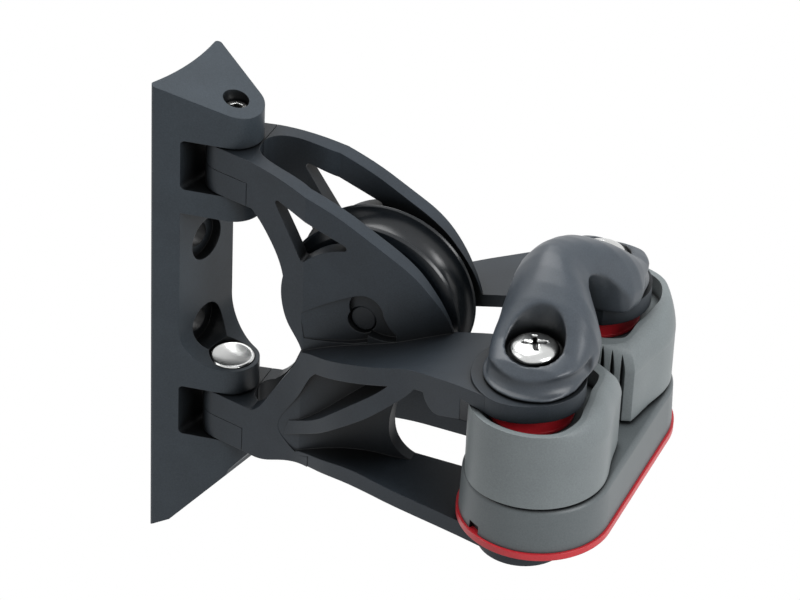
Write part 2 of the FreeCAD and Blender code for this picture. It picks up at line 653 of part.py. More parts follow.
def cleat_base():
    """Moulded base under the cams, drafted and notched at its foot."""
    body = Part.makeLoft([long_round(BASE_R_FOOT, BASE_FOOT), long_round(BASE_R_TOP, BASE_TOP)], True, True)
    for side in (-1, 1):
        body = body.cut(upright(SCREW_HOLE_R, BASE_FOOT - 1, BASE_TOP + 1, CLEAT_X, side * HALF_PITCH))
    notch = Part.makeBox(3.0, 3.0, 2.4, V(-1.5, -1.5, -1.2))
    notch.rotate(V(0, 0, 0), V(0, 0, 1), 60)
    notch.translate(V(CLEAT_CENTRE_X - 8.6, -BASE_CENTRE_Y - 13.9, BASE_FOOT + 1.2))
    body = body.cut(notch)
    rim = [e for e in body.Edges if min(v.Z for v in e.Vertexes) > BASE_TOP - 0.01 and e.BoundBox.YLength > 2 * CAM_R]
    rim += [e for e in body.Edges if is_end_arc(e)]
    return clean(body.makeFillet(BASE_SHOULDER_R, rim))


def is_end_arc(edge):
    """True for a half round of the base's top outline."""
    flat = edge.BoundBox.ZLength < 0.01 and abs(edge.CenterOfMass.z - BASE_TOP) < 0.01
    return flat and edge.BoundBox.XLength > 2 * BASE_R_TOP - 1


def cleat_trim():
    """Thin coloured plate between the base and the lower struts."""
    low = SEAT_Z
    plate = Part.Face(long_round(BASE_R_FOOT + TRIM_OVERHANG, low)).extrude(V(0, 0, TRIM_T))
    for side in (-1, 1):
        plate = plate.cut(upright(SCREW_HOLE_R, low - 1, low + TRIM_T + 1, CLEAT_X, side * HALF_PITCH))
    return clean(plate)


def polar(radius, angle, z):
    """Point about a pivot, by radius and angle in degrees."""
    return V(radius * math.cos(math.radians(angle)), radius * math.sin(math.radians(angle)), z)


def cam_radius(angle):
    """Gripping face: a spiral that is largest at the tip and flattens at the heel."""
    share = (CAM_HEEL_ANGLE - angle) / (CAM_HEEL_ANGLE - CAM_TIP_ANGLE)
    return CAM_HEEL_R + (CAM_TIP_R - CAM_HEEL_R) * (0.62 * share + 0.38 * share ** 2)


def side_radius(angle):
    """Smooth side of the cam: a circle set off the pivot, seen from the pivot."""
    a = math.radians(angle)
    along = CAM_OFFSET_X * math.cos(a) + CAM_OFFSET_Y * math.sin(a)
    across = CAM_OFFSET_Y * math.cos(a) - CAM_OFFSET_X * math.sin(a)
    return along + math.sqrt(CAM_R ** 2 - across ** 2)


def cam_ring(z, rounding, rim, grip_rim):
    """Plan of the near cam about its pivot, toothed side towards +Y."""
    edge = CAM_EDGE * rounding / CAM_ROUNDING
    grip = []
    for angle in (CAM_HEEL_ANGLE, 104, 90, 78, 68, 57, CAM_TIP_ANGLE + 2 * rounding / CAM_ROUNDING):
        near_tip = max(0, (78 - angle) / (78 - CAM_TIP_ANGLE)) ** 2
        drop = edge + (rounding - edge) * near_tip + grip_rim + (rim - grip_rim) * near_tip
        grip.append(polar(cam_radius(angle) - drop, angle, z))
    side = [grip[-1], polar(19.0 - rounding - rim, 39, z), polar(17.4 - rounding - rim, 28, z)]
    for angle in (14, -3, -18, -32, -46, -65, -90, -118):
        share = min(1, max(0, (angle + 50) / 48))
        side.append(polar(side_radius(angle) - rounding * share - rim, angle, z))
    back_rim = (rim + grip_rim) / 2
    side.append(polar(CAM_BACK_R + 0.5 - back_rim, -155, z))
    side.append(polar(CAM_BACK_R - edge - back_rim, 178, z))
    side.append(polar(CAM_BACK_R + 0.8 - edge - back_rim, 150, z))
    side.append(grip[0])
    return Part.Wire([spline(grip), spline(side)])


def cam():
    """Near cam: teeth, rounded tip, bearing bore, top dish and spring room."""
    shoulder = CAM_TOP - CAM_ROUNDING_H
    body = Part.Face(cam_ring(CAM_FOOT, 0, 0, 0)).extrude(V(0, 0, shoulder - CAM_FOOT))
    rings = []
    for rise in (0.0, 0.4, 0.7, 0.9, 1.0):
        rounding = CAM_ROUNDING * (1 - math.sqrt(1 - rise ** 2))
        rings.append(cam_ring(shoulder + CAM_ROUNDING_H * rise, rounding, 0, 0))
    body = body.fuse(Part.makeLoft(rings, True, False))
    dish = Part.Face(cam_ring(CAM_TOP - DISH_DEPTH, CAM_ROUNDING, CAM_RIM_T, CAM_GRIP_RIM_T))
    body = body.cut(dish.extrude(V(0, 0, DISH_DEPTH + 1)))
    body = body.cut(upright(CAM_BORE_R, CAM_FOOT - 1, CAM_TOP + 1))
    room_top = CAM_FOOT + SPRING_WIRE_R * 2 * (SPRING_TURNS + 1) + 0.8
    room = upright(SPRING_R + SPRING_ROOM, CAM_FOOT - 1, room_top)
    body = body.cut(room.cut(upright(SPRING_R - SPRING_ROOM, CAM_FOOT - 1, room_top)))
    step = (CAM_HEEL_ANGLE - CAM_TIP_ANGLE - 10) / (TOOTH_COUNT - 1)
    for k in range(TOOTH_COUNT):
        a = CAM_TIP_ANGLE + 7 + step * k
        r = cam_radius(a)
        half = math.radians(step) * r * 0.36
        cut = [(r - TOOTH_DEPTH, 0), (r + 2.0, -half * 2.0), (r + 2.0, half * 2.0)]
        groove = extrude_z(cut, CAM_FOOT - 1, CAM_TOP + 1)
        groove.rotate(V(0, 0, 0), V(0, 0, 1), a)
        body = body.cut(groove)
    return clean(body)


def cam_hub():
    """Fixed post that the balls run on."""
    post = upright(HUB_R, BASE_TOP, DISC_FOOT - 0.02)
    return post.cut(upright(SCREW_HOLE_R, BASE_TOP - 1, DISC_FOOT + 1))


def ball_place(k, z):
    """Centre of one ball of a cam bearing."""
    a = 2 * math.pi * k / CAM_BALL_COUNT
    pitch = (HUB_R + CAM_BORE_R) / 2
    return V(pitch * math.cos(a), pitch * math.sin(a), z)


def ball_level():
    """Height of the ball row."""
    return (CAM_FOOT + CAM_TOP) / 2


def cam_race():
    """Coloured race over the balls, with a wide flange that shows in the cam's top."""
    low = ball_level() + CAM_BALL_R + 0.2
    flange_foot = CAM_TOP - DISH_DEPTH + RUN
    flange_top = flange_foot + RACE_FLANGE_T
    ring = upright(CAM_BORE_R - RUN, low, flange_top)
    ring = ring.fuse(upright(RACE_FLANGE_R, flange_foot, flange_top))
    return clean(ring.cut(upright(HUB_R + RUN, low - 1, flange_top + 1)))


def cam_balls():
    """Row of balls between the post and the cam."""
    return Part.makeCompound([Part.makeSphere(CAM_BALL_R, ball_place(k, ball_level())) for k in range(CAM_BALL_COUNT)])


def cam_spring():
    """Coil that turns the cam shut, in the room under it."""
    pitch = SPRING_WIRE_R * 2.3
    helix = Part.makeLongHelix(pitch, pitch * SPRING_TURNS, SPRING_R)
    start = Part.Wire(Part.makeCircle(SPRING_WIRE_R, V(SPRING_R, 0, 0), V(0, 1, 0)))
    coil = Part.Wire(helix.Edges).makePipeShell([start], True, True)
    coil.translate(V(0, 0, BASE_TOP + SPRING_WIRE_R + 0.05))
    return coil


def cleat_screw():
    """Pan head screw through fairlead, strut, post, base and lower strut."""
    seat = DISC_TOP + SCREW_FLOOR_T
    r = SCREW_HEAD_R
    dome = Part.Arc(V(r, 0, seat + 0.7), V(r * 0.62, 0, seat + SCREW_HEAD_H - 0.55), V(0, 0, seat + SCREW_HEAD_H))
    edges = [Part.makeLine(V(0, 0, BOSS_FOOT + 0.3), V(SCREW_R, 0, BOSS_FOOT + 0.3))]
    edges.append(Part.makeLine(V(SCREW_R, 0, BOSS_FOOT + 0.3), V(SCREW_R, 0, seat)))
    edges.append(Part.makeLine(V(SCREW_R, 0, seat), V(r, 0, seat)))
    edges.append(Part.makeLine(V(r, 0, seat), V(r, 0, seat + 0.7)))
    edges.append(dome.toShape())
    edges.append(Part.makeLine(V(0, 0, seat + SCREW_HEAD_H), V(0, 0, BOSS_FOOT + 0.3)))
    screw = Part.Face(Part.Wire(edges)).revolve(V(0, 0, 0), V(0, 0, 1), 360)
    for turn in (25, 115):
        slot = Part.makeBox(4.6, 0.9, 3, V(-2.3, -0.45, seat + 0.9))
        slot.rotate(V(0, 0, 0), V(0, 0, 1), turn)
        screw = screw.cut(slot)
    return clean(screw)


def fairlead_ring(y, lean, half_x, crest, taper):
    """Section of the fairlead across the line's way: wide low down, narrow at its crest."""
    foot = DISC_TOP + FAIRLEAD_GAP
    middle = foot + FAIRLEAD_SHOULDER
    points = []
    for k in range(SECTION_POINTS):
        a = 2 * math.pi * k / SECTION_POINTS - math.pi / 2
        c = math.copysign(abs(math.cos(a)) ** SECTION_POWER, math.cos(a))
        s = math.copysign(abs(math.sin(a)) ** SECTION_POWER, math.sin(a))
        reach = foot + crest - middle
        if s < 0:
            reach = FAIRLEAD_SHOULDER + 3.0
        rise = max(s, 0)
        x = CLEAT_X + lean - 1.2 * rise + half_x * c * (1 - taper * rise)
        points.append(V(x, y, middle + reach * s))
    curve = Part.BSplineCurve()
    curve.interpolate(points, PeriodicFlag=True)
    return Part.Wire(curve.toShape())


def fairlead_eye():
    """Tunnel for the line: an arch that opens out towards both mouths."""
    foot = DISC_TOP + FAIRLEAD_GAP
    sections = []
    for x in (-14.0, -9.0, -4.5, 0.0, 4.5, 9.0, 14.0):
        flare = (x / 9.0) ** 2
        half_w = FAIRLEAD_EYE_HALF_W + 1.5 * flare
        height = FAIRLEAD_EYE + 2.0 * flare
        arch = []
        for k in range(-3, 4):
            arch.append(V(CLEAT_X - 2.6 + x, half_w * k / 3, foot + height * (1 - (k / 3) ** 2)))
        low = [V(arch[-1].x, half_w, foot - 2), V(arch[0].x, -half_w, foot - 2)]
        edges = [spline(arch), Part.makeLine(arch[-1], low[0]), Part.makeLine(low[0], low[1])]
        edges.append(Part.makeLine(low[1], arch[0]))
        sections.append(Part.Wire(edges))
    return Part.makeLoft(sections, True, False)


def fairlead():
    """Arched eye over the two screws: wide feet, flared mouth, round crown."""
    foot = DISC_TOP + FAIRLEAD_GAP
    crown = FAIRLEAD_CROWN
    sections = [(HALF_PITCH + 9.9, 1.3, 3.0, 2.1, 0.0),
                (HALF_PITCH + 8.2, 1.3, 6.2, 3.4, 0.05),
                (HALF_PITCH + 5.4, 1.3, 9.0, 5.1, 0.1),
                (HALF_PITCH + 2.0, 1.2, 10.9, 7.1, 0.14),
                (HALF_PITCH - 1.8, 1.0, 11.7, crown - 8.1, 0.17),
                (HALF_PITCH - 5.8, 0.2, 12.0, crown - 4.8, 0.22),
                (HALF_PITCH - 9.9, -1.2, 11.6, crown - 2.3, 0.28),
                (HALF_PITCH - 14.2, -2.4, 10.7, crown - 0.6, 0.33),
                (0.0, -2.9, 10.3, crown, 0.35)]
    rings = [fairlead_ring(-y, *rest) for y, *rest in sections]
    rings += [fairlead_ring(y, *rest) for y, *rest in reversed(sections[:-1])]
    body = Part.makeLoft(rings, True, False)
    body = body.cut(Part.makeBox(80, 120, 30, V(CLEAT_X - 40, -60, foot - 30)))
    body = body.cut(fairlead_eye())
    floor = DISC_TOP + SCREW_FLOOR_T
    for side in (-1, 1):
        y = side * HALF_PITCH
        body = body.cut(upright(WELL_R, floor, floor + 20, CLEAT_X, y))
        body = body.cut(upright(SCREW_HOLE_R, foot - 1, floor + 1, CLEAT_X, y))
    return clean(body)


def at_cam(shape, side):
    """A piece of the near cam, or its mirror image at the far one."""
    placed = shape.copy()
    placed.translate(V(CLEAT_X, -HALF_PITCH, 0))
    if side > 0:
        placed = mirror_y(placed)
    return placed


def arm_parts():
    """Every piece that swings, still in the arm's own frame."""
    front, back = arm_halves()
    parts = {"arm_front_half": front, "arm_back_half": back}
    parts["sheave"] = sheave()
    parts["sheave_inner_race"] = sheave_inner_race()
    parts["sheave_balls"] = sheave_balls()
    parts["sheave_axle"] = sheave_axle()
    gap = JOINT_GAP
    parts["upper_hinge_bush"] = hinge_bush(UPPER_GAP_FLOOR + gap, UPPER_GAP_TOP - gap)
    parts["lower_hinge_bush"] = hinge_bush(LOWER_GAP_FLOOR + gap, LOWER_GAP_TOP - gap)
    parts["cleat_base"] = cleat_base()
    parts["cleat_trim"] = cleat_trim()
    parts["fairlead"] = fairlead()
    pieces = {"cam": cam(), "cam_hub": cam_hub(), "cam_race": cam_race(), "cam_balls": cam_balls(),
              "cam_spring": cam_spring(), "cleat_screw": cleat_screw()}
    for name, shape in pieces.items():
        parts[name + "_front"] = at_cam(shape, -1)
        parts[name + "_back"] = at_cam(shape, 1)
    return parts


os.makedirs("parts", exist_ok=True)
model = {"mast_bracket": mast_bracket(), "upper_hinge_pin": upper_hinge_pin(), "lower_hinge_pin": lower_hinge_pin()}
for name, shape in arm_parts().items():
    model[name] = swing(shape)
for name, shape in model.items():
    shape.exportStep("parts/" + name + ".step")
    print(name, len(shape.Solids), round(shape.Volume, 1), shape.isValid())
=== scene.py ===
import json
import math

import bmesh
import bpy
from mathutils import Matrix, Vector


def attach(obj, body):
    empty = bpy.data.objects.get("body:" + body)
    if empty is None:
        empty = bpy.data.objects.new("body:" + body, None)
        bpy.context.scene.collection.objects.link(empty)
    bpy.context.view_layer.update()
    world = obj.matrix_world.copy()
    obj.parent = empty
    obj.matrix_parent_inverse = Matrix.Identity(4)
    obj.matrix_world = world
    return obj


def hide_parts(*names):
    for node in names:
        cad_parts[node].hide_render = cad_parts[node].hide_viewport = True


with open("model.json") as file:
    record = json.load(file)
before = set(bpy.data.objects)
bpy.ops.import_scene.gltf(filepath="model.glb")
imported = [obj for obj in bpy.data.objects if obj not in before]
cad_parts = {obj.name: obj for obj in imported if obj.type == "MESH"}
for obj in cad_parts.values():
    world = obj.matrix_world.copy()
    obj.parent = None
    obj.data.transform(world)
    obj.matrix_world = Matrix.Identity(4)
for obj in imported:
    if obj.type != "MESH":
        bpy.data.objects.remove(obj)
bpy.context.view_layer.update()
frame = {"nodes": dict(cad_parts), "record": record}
nodes = frame["nodes"]

MM = 0.001

# The camera stands where the photograph was taken from: up and to the right
# of the mast's centre line, through a long lens. PIN_TOP, in millimetres, is
# the middle of the lower hinge pin's head, and PIN_PX the pixel where it shows.
AZIMUTH = math.radians(34.402)
ELEVATION = math.radians(34.732)
ROLL = math.radians(-2.527)
FOCAL_PX = 4144.0
PIN_TOP = Vector((12.7, 0.0, -16.0))
PIN_PX = (232.015, 354.146)
DISTANCE = 891.909
PHOTO_PX = (800, 600)
SENSOR_MM = 36.0

# Shared by all finishes: how much the patches of tone add to the grain, the sum
# that gives the dark and the light colour, how far the roughness varies, the
# round of an edge, the depth of the grain and the painted shade deep in a gap.
PATCH_SHARE = 0.7
TONE_FROM = 0.55
TONE_TO = 1.15
ROUGH_SPREAD = 0.06
EDGE_MM = 0.25
GRAIN_DEPTH_MM = 0.05
PAINTED_GAP_SHADE = "060708"


def linear(code):
    """sRGB hex value as linear red, green, blue and alpha."""
    out = []
    for i in (0, 2, 4):
        c = int(code[i:i + 2], 16) / 255
        out.append(c / 12.92 if c <= 0.04045 else ((c + 0.055) / 1.055) ** 2.4)
    return (*out, 1.0)


def add(tree, kind, links=(), **settings):
    """Adds a node, sets its properties and inputs, and links its inputs."""
    node = tree.nodes.new(kind)
    for name, value in settings.items():
        if hasattr(node, name):
            setattr(node, name, value)
        else:
            node.inputs[name.replace("_", " ")].default_value = value
    for socket, source in dict(links).items():
        tree.links.new(source, node.inputs[socket])
    return node


def new_material(name):
    """Empty node material with its output."""
    mat = bpy.data.materials.new(name)
    mat.use_nodes = True
    mat.node_tree.nodes.clear()
    out = mat.node_tree.nodes.new("ShaderNodeOutputMaterial")
    return mat, mat.node_tree, out


def surface(name, dark, light, rough, metallic=0.0, specular=0.5, bump=0.1, grain_mm=0.35,
            patch_mm=9.0, gap=None):
    """Satin surface: fine grain, faint patches of tone, softened edges and painted shade in gaps.

    The real grain, under 0.1 mm, is too fine to show, so it is drawn 0.2 to
    0.35 mm wide. gap holds how far the painted shade in a gap reaches, in
    millimetres, and the open shares at which it is full and at which it ends.
    """
    mat, tree, out = new_material(name)
    place = add(tree, "ShaderNodeTexCoord").outputs["Object"]
    patches = add(tree, "ShaderNodeTexNoise", {"Vector": place}, Scale=1000.0 / patch_mm,
                  Detail=3.0, Roughness=0.55)
    grain = add(tree, "ShaderNodeTexNoise", {"Vector": place}, Scale=1000.0 / grain_mm,
                Detail=2.0, Roughness=0.6)
    tone = add(tree, "ShaderNodeMath", {0: patches.outputs["Fac"]}, operation="MULTIPLY_ADD")
    tone.inputs[1].default_value = PATCH_SHARE
    tree.links.new(grain.outputs["Fac"], tone.inputs[2])
    shade = add(tree, "ShaderNodeMapRange", {"Value": tone.outputs[0]}, From_Min=TONE_FROM, From_Max=TONE_TO)
    colour = add(tree, "ShaderNodeMix", {"Factor": shade.outputs[0]}, data_type="RGBA")
    colour.inputs[6].default_value = linear(dark)
    colour.inputs[7].default_value = linear(light)
    # Painted shade: where ambient occlusion finds nearby surfaces, the colour is mixed towards a near-black
    # tone, darkest deep in gaps and recesses.
    if gap:
        reach, full, ended = gap
        open_share = add(tree, "ShaderNodeAmbientOcclusion", samples=8)
        open_share.inputs["Distance"].default_value = reach * MM
        gap_share = add(tree, "ShaderNodeMapRange", {"Value": open_share.outputs["AO"]},
                        From_Min=full, From_Max=ended)
        gap_painted_shade = add(tree, "ShaderNodeMix", {"Factor": gap_share.outputs[0]}, data_type="RGBA")
        gap_painted_shade.inputs[6].default_value = linear(PAINTED_GAP_SHADE)
        tree.links.new(colour.outputs[2], gap_painted_shade.inputs[7])
        colour = gap_painted_shade
    rough_map = add(tree, "ShaderNodeMapRange", {"Value": grain.outputs["Fac"]},
                    To_Min=rough - ROUGH_SPREAD, To_Max=rough + ROUGH_SPREAD)
    soft = add(tree, "ShaderNodeBevel", samples=6)
    soft.inputs["Radius"].default_value = EDGE_MM * MM
    relief = add(tree, "ShaderNodeBump", {"Height": grain.outputs["Fac"], "Normal": soft.outputs[0]},
                 Strength=bump)
    relief.inputs["Distance"].default_value = GRAIN_DEPTH_MM * MM
    looks = {"Base Color": colour.outputs[2], "Roughness": rough_map.outputs[0], "Normal": relief.outputs[0]}
    shader = add(tree, "ShaderNodeBsdfPrincipled", looks, Metallic=metallic, Specular_IOR_Level=specular)
    tree.links.new(shader.outputs[0], out.inputs["Surface"])
    return mat


# A finish that is given a gap is painted darker in its gaps and recesses: painted shade.
# Cast aluminium, hard anodised: charcoal with a blue cast, fine satin grain.
casting = surface("hard_anodised_aluminium", "2b3238", "373f46", 0.46, bump=0.25, specular=0.28,
                  gap=(14.0, 0.45, 1.0))
# The same casting on the arm, which the photograph shows darker than the bracket.
# Painted shade: a darker copy of the bracket's casting colours, not a deeper dye.
arm_casting = surface("arm_anodised_aluminium_shaded", "23292f", "2e353c", 0.46, bump=0.25, specular=0.26,
                      gap=(14.0, 0.45, 1.0))
# Turned aluminium, anodised black and polished: deep gloss on the sheave.
sheave_black = surface("black_anodised_aluminium", "0c1014", "14191e", 0.3, bump=0.03)
# Moulded glass-filled nylon: mid grey with a soft sheen.
nylon_grey = surface("moulded_grey_nylon", "565c5e", "62686a", 0.42, bump=0.08, patch_mm=14.0,
                     specular=0.35, gap=(1.8, 0.45, 0.95))
# The same nylon on the cams, which the photograph shows paler than the base.
# Painted light: a paler copy of the base's nylon colours.
cam_nylon = surface("pale_grey_nylon", "6a7072", "787f80", 0.42, bump=0.08, patch_mm=14.0,
                    specular=0.35, gap=(1.8, 0.45, 0.95))
# Injection moulded acetal: satin charcoal gloss of the fairlead.
fairlead_grey = surface("moulded_charcoal_acetal", "363c43", "41484f", 0.38, specular=0.4,
                        gap=(14.0, 0.45, 1.0))
# Moulded red nylon: saturated, half gloss.
red_nylon = surface("moulded_red_nylon", "b01e28", "c42932", 0.36, bump=0.04)
# Acetal balls, races and bushes: black and smooth.
black_acetal = surface("black_acetal", "15171a", "1d1f23", 0.35, bump=0.02)
# Polished stainless steel of the pins and screws: bright, with sharp highlights.
stainless = surface("polished_stainless_steel", "c8c9c8", "d8d9d8", 0.22, metallic=1.0, bump=0.03,
                    grain_mm=0.2, gap=(1.6, 0.4, 0.9))

FINISH = {
    "casting": casting,
    "stainless": stainless,
    "bearing_plastic": black_acetal,
    "sheave_black": sheave_black,
    "cleat_grey": nylon_grey,
    "cam_grey": cam_nylon,
    "trim_red": red_nylon,
    "fairlead_grey": fairlead_grey,
}

# The axle's end, in the cheek's sinking, shows dark with shade, so its steel
# is painted near black, with a dull metal sheen: painted shade.
axle_shaded_dark = surface("axle_steel_painted_dark", "1a1d20", "22262a", 0.4, metallic=0.6, bump=0.05)

for part in frame["record"]["subparts"]:
    piece = nodes[part["node"]]
    piece.data.materials.clear()
    piece.data.materials.append(axle_shaded_dark if part["node"] == "sheave_axle" else FINISH[part["material_slot"]])


# Sizes in millimetres, in the arm's own frame, whose X runs from the hinge
# through the middle between the two cleat screws.
ARM_ANGLE = math.radians(12.7)
HINGE_X = 12.7
CLEAT_X = 75.5
SCREW_Y = 19.0

# Fairlead: its foot, how far its sections and the tunnel start below the foot,
# how full the tunnel's arch and its lower side are, and the block that cuts
# off what lies below the foot.
FAIRLEAD_FOOT = 15.05
RING_CORNERS = 48
SECTION_BELOW = 2.6
TUNNEL_BELOW = 4.0
ARCH_POWER = 1.75
BELOW_POWER = 0.4
CUT_BLOCK = (80, 100, 40)
# Screw wells, the rims of the feet and the hollow bands over them.
BAR_CORNERS = 72
WELL_R = 6.0
WELL_TOP = 45.0
RIM_R = 10.3
RIM_H = 0.9
BAND_R = 13.2
BAND_Z = 18.3
BAND_SIZE = 3.1
BAND_ARC = math.radians(200)
BAND_INWARD = 1.9
# Skin of the moulding: its voxels and the rounds of smoothing.
VOXEL_MM = 0.3
EASE_ROUNDS = 12

# Pan head screws: seat, head, shank and the cross recess in the head.
SCREW_SEAT = 20.4
HEAD_R = 5.1
HEAD_H = 2.6
HEAD_EDGE = 0.75
HEAD_BEVEL = 0.2
BEVEL_H = 0.25
DOME_POINTS = 10
DOME_POWER = 0.75
SHANK_R = 2.5
SHANK_END = -28.0
RECESS_BAR = (4.6, 0.95, 3.0)
RECESS_RISE = 2.75
RECESS_TURNS = (25, 115)

# Seam under the cams, rim of the trim, and the arm's top discs: their radius,
# the heights between which they are trimmed, the most that comes off, and the
# cosine to the arm's outward direction from which, and over which, it grows.
CAM_SEAM_H = 0.7
TRIM_RIM_H = 0.35
DISC_R = 12.6
DISC_SLACK = 0.1
DISC_LOW = 10.5
DISC_HIGH = 15.1
DISC_TRIM = 1.6
TRIM_FROM = -0.3
TRIM_OVER = 0.8

# In metres: corners of a node's triangles nearer than WELD_M are one corner,
# and those within LAYER_M of its lowest or highest point are its flat face.
WELD_M = 0.00001
LAYER_M = 0.0001

# An edge that turns by more than this stays sharp.
SHARP_FROM = math.radians(35.0)


def turn_to_arm(bm):
    """Takes millimetres in the arm's own frame to metres in the part's frame."""
    bmesh.ops.rotate(bm, verts=bm.verts, cent=(0, 0, 0), matrix=Matrix.Rotation(ARM_ANGLE, 3, "Z"))
    bmesh.ops.translate(bm, verts=bm.verts, vec=(HINGE_X, 0, 0))
    bmesh.ops.scale(bm, verts=bm.verts, vec=(MM, MM, MM))


def new_piece(bm, name, material=None):
    """Mesh object from a bmesh, smooth but for its sharp edges."""
    mesh = bpy.data.meshes.new(name)
    bm.to_mesh(mesh)
    bm.free()
    mesh.shade_smooth()
    mesh.set_sharp_from_angle(angle=SHARP_FROM)
    piece = bpy.data.objects.new(name, mesh)
    bpy.context.collection.objects.link(piece)
    if material:
        mesh.materials.append(material)
    return piece


def bridge_rings(bm, rings):
    """Skins a row of closed rings and fills the two ends."""
    for low, high in zip(rings, rings[1:]):
        loops = [edge for edge in bm.edges if all(v in low for v in edge.verts)]
        loops += [edge for edge in bm.edges if all(v in high for v in edge.verts)]
        bmesh.ops.bridge_loops(bm, edges=loops)
    bmesh.ops.holes_fill(bm, edges=[edge for edge in bm.edges if edge.is_boundary])
    bmesh.ops.recalc_face_normals(bm, faces=bm.faces)


def leg_ring(bm, y, lean, half_x, crest, middle, taper, power):
    """Section of the fairlead across the line's way, widest at its middle height."""
    upright = Matrix.Rotation(math.radians(90), 4, "X")
    made = bmesh.ops.create_circle(bm, segments=RING_CORNERS, radius=1.0, matrix=upright)
    for v in made["verts"]:
        side = math.copysign(abs(v.co.x) ** power, v.co.x)
        rise = math.copysign(abs(v.co.z) ** power, v.co.z)
        reach = crest - middle if rise > 0 else middle + SECTION_BELOW
        width = half_x * (1 - taper * max(rise, 0))
        v.co = (CLEAT_X + lean + width * side, y, FAIRLEAD_FOOT + middle + reach * rise)
    return set(made["verts"])


def eye_ring(bm, x, half_w, height):
    """Section of the line's tunnel: an arch that stands below the foot."""
    upright = Matrix.Rotation(math.radians(90), 4, "X")
    made = bmesh.ops.create_circle(bm, segments=RING_CORNERS, radius=1.0, matrix=upright)
    for v in made["verts"]:
        side = v.co.x
        if v.co.z > -0.01:
            rise = height * (1 - abs(side) ** ARCH_POWER)
        else:
            rise = -TUNNEL_BELOW * abs(v.co.z) ** BELOW_POWER
        v.co = (CLEAT_X + x, half_w * side, FAIRLEAD_FOOT + rise)
    return set(made["verts"])


def round_bar(radius, low, high, y):
    """Upright cylinder about a screw's axis, as its own bmesh."""
    bm = bmesh.new()
    place = Matrix.Translation((CLEAT_X, y, (low + high) / 2))
    bmesh.ops.create_cone(bm, cap_ends=True, segments=BAR_CORNERS, radius1=radius, radius2=radius,
                          depth=high - low, matrix=place)
    return bm


def hollow_band(y):
    """Ring that hollows the side of a foot between its rim and its flared edge."""
    bm = bmesh.new()
    outward = math.radians(math.copysign(90, y))
    place = Matrix.Rotation(outward - BAND_ARC / 2, 4, "Z") @ Matrix.Translation((BAND_R, 0, BAND_Z))
    place = place @ Matrix.Rotation(math.radians(90), 4, "X")
    bmesh.ops.create_circle(bm, segments=24, radius=BAND_SIZE, matrix=place)
    bmesh.ops.spin(bm, geom=bm.verts[:] + bm.edges[:], cent=(0, 0, 0), axis=(0, 0, 1),
                   angle=BAND_ARC, steps=40)
    bmesh.ops.holes_fill(bm, edges=[edge for edge in bm.edges if edge.is_boundary])
    bmesh.ops.recalc_face_normals(bm, faces=bm.faces)
    bmesh.ops.translate(bm, verts=bm.verts, vec=(CLEAT_X, y - math.copysign(BAND_INWARD, y), 0))
    return bm


def cut_by(piece, cutters):
    """Cuts the cutters out of a piece and removes them."""
    for cutter in cutters:
        step = piece.modifiers.new("cut", "BOOLEAN")
        step.operation = "DIFFERENCE"
        step.solver = "EXACT"
        step.object = cutter
    settle(piece)
    for cutter in cutters:
        bpy.data.objects.remove(cutter)


def settle(piece):
    """Applies a piece's modifiers to its mesh."""
    bpy.context.view_layer.update()
    depsgraph = bpy.context.evaluated_depsgraph_get()
    final = bpy.data.meshes.new_from_object(piece.evaluated_get(depsgraph))
    piece.modifiers.clear()
    piece.data = final


# Fairlead sections: distance from the middle, lean, half width, crest, height
# of the widest part, taper and fullness.
LEG_SECTIONS = ((29.0, 0.2, 2.6, 1.7, 0.8, 0.0, 0.8), (28.1, 0.3, 4.8, 2.7, 1.2, 0.02, 0.75),
                (26.8, 0.4, 6.8, 4.3, 2.0, 0.05, 0.7), (24.9, 0.5, 8.3, 6.1, 3.2, 0.06, 0.62),
                (22.0, 0.6, 9.4, 6.9, 3.9, 0.07, 0.58), (19.6, 0.5, 10.0, 7.6, 4.2, 0.08, 0.58),
                (17.6, 0.4, 10.4, 9.3, 4.4, 0.1, 0.6), (15.4, 0.4, 10.8, 11.5, 4.6, 0.14, 0.64),
                (12.6, 0.4, 11.2, 13.9, 4.8, 0.2, 0.68), (9.4, -0.2, 11.1, 16.0, 5.4, 0.27, 0.72),
                (6.0, -1.5, 10.5, 17.6, 6.4, 0.33, 0.76), (2.8, -2.7, 10.0, 18.5, 7.5, 0.36, 0.8),
                (0.0, -3.1, 9.8, 18.8, 8.0, 0.37, 0.8))
# Tunnel sections: place along the line's way, half width, height.
EYE_SECTIONS = ((-15.0, 15.0, 20.0), (-12.6, 12.0, 15.2), (-11.2, 9.8, 12.8), (-9.6, 8.6, 11.5),
                (-7.4, 7.8, 10.8), (-4.0, 7.4, 10.5), (-0.5, 7.4, 10.6), (1.8, 7.4, 11.2),
                (3.6, 7.5, 12.6), (5.0, 7.7, 14.6), (6.4, 8.0, 17.2), (8.6, 8.7, 19.4),
                (10.4, 9.8, 20.6), (11.9, 11.6, 21.5), (14.5, 15.5, 23.0))


